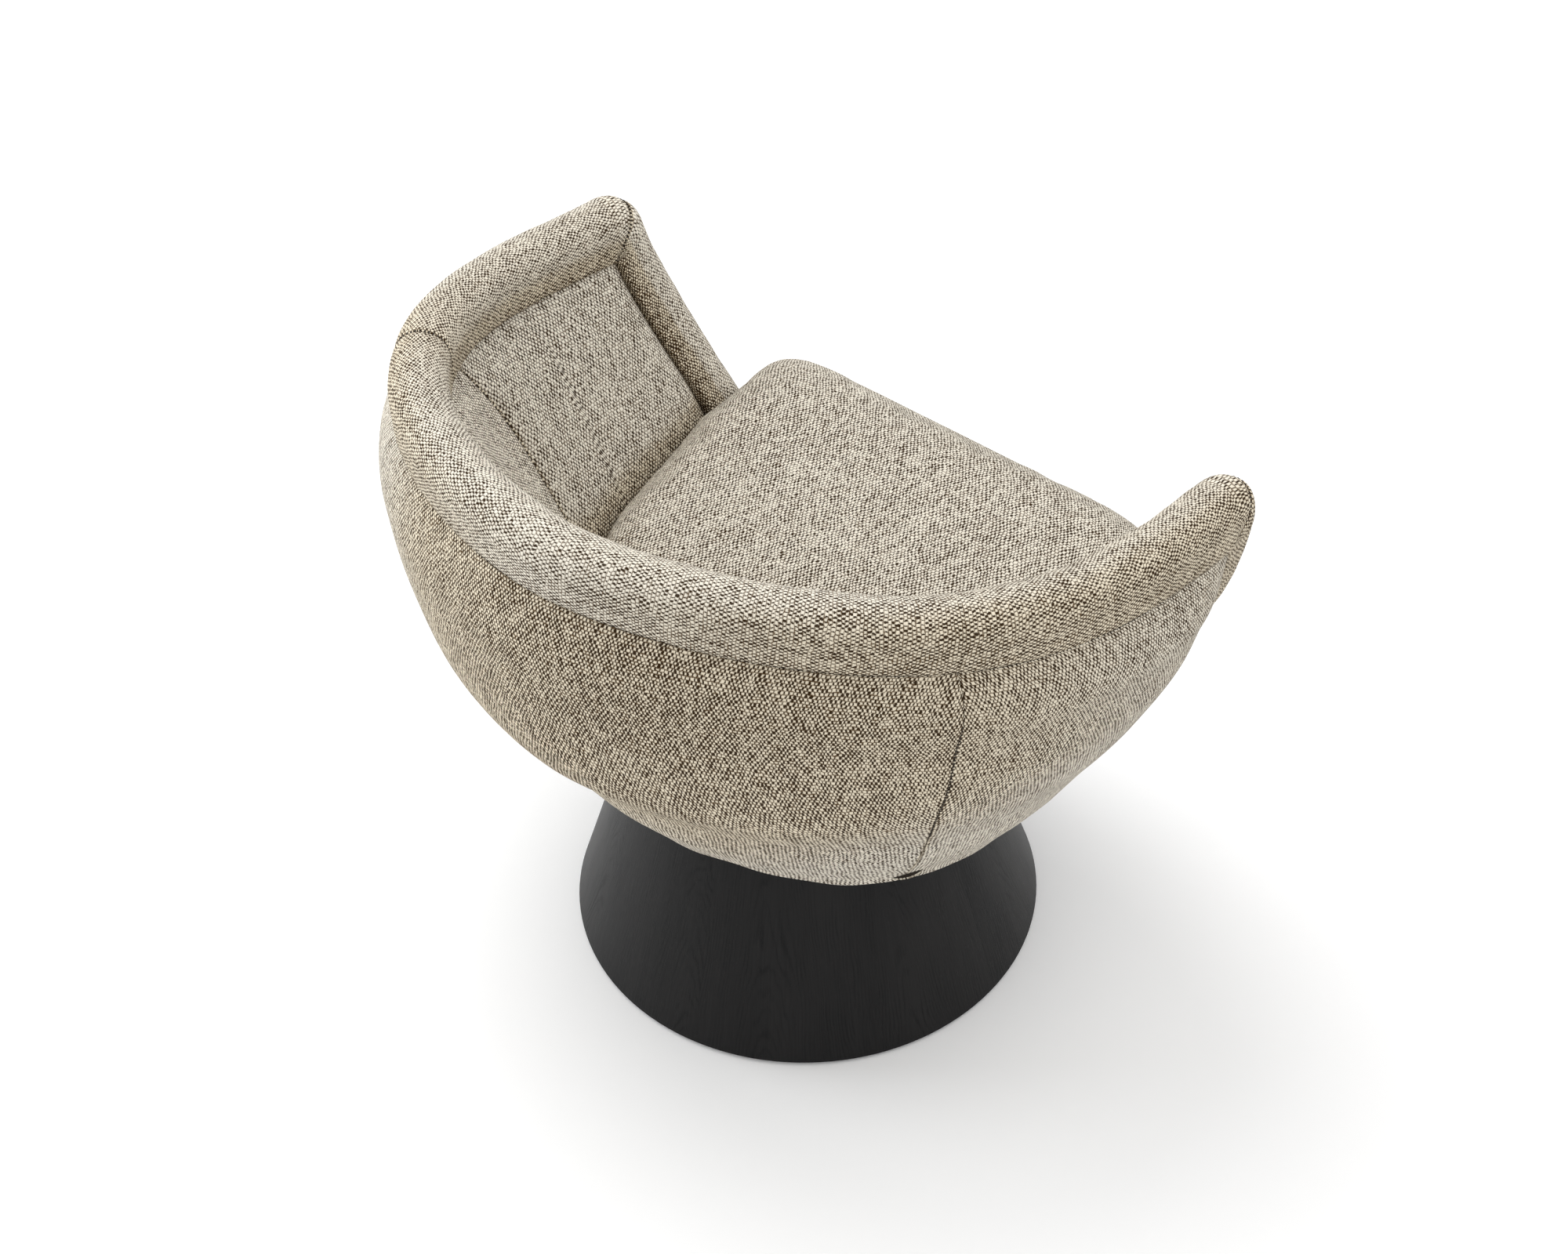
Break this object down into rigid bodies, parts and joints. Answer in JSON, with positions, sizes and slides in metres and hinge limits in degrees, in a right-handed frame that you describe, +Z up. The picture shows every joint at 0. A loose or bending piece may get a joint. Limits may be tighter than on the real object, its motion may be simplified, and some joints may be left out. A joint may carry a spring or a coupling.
{
  "type": "swivel tub chair",
  "caption": "Upholstered tub armchair: a bowl-shaped shell with a padded rolled rim and a loose seat cushion, swivelling on a black wood cone base.",
  "frame": {"origin": "on the floor, in the middle of the chair's overall width and depth with the tub facing forward; the swivel axis stands 32 mm in front of it", "axes": "+X to the sitter's left, +Y to the chair's back (the sitter faces -Y), +Z up along the swivel axis"},
  "size_m": [0.7888, 0.6549, 0.7216],
  "materials": {
    "woven_cloth": "chunky basket weave in greige with dark flecks",
    "black_oak": "black-stained open-grain veneer, satin lacquer",
    "plywood": "raw sanded",
    "steel": "zinc plated",
    "nylon": "moulded",
    "felt": "matt black felt"
  },
  "bodies": {
    "base": {"base_cone": "black_oak", "base_top_board": "plywood", "base_floor_ring": "plywood", "base_ribs": "plywood", "floor_glides": "felt", "glide_screws": "steel", "swivel_lower_plate": "steel", "lower_plate_screws": "steel", "ball_cage": "nylon", "bearing_balls": "steel", "pivot_bolt": "steel", "pivot_nut": "steel"},
    "tub": {"swivel_upper_plate": "steel", "upper_plate_bolts": "steel", "tee_nuts": "steel", "carrier_board": "plywood", "box_frame": "plywood", "box_screws": "steel", "seat_springs": "steel", "spring_clips": "steel", "deck_pad": "felt", "seat_cushion": "woven_cloth", "front_apron": "woven_cloth", "back_ribs": "plywood", "corner_ribs": "plywood", "side_ribs": "plywood", "rim_rail": "plywood", "front_posts": "plywood", "outer_panel_back": "woven_cloth", "outer_panel_left": "woven_cloth", "outer_panel_right": "woven_cloth", "inner_panel_back": "woven_cloth", "inner_panel_left": "woven_cloth", "inner_panel_right": "woven_cloth", "roll_back": "woven_cloth", "roll_arm_left": "woven_cloth", "roll_arm_right": "woven_cloth", "roll_front_left": "woven_cloth", "roll_front_right": "woven_cloth", "dust_cover": "felt", "seam_fold": "woven_cloth"}
  },
  "joints": [
    {"name": "seat_swivel", "type": "hinge", "parent": "base", "child": "tub", "pos_m": [0, -0.032, 0.246], "axis": [0, 0, 1], "continuous": true}
  ]
}
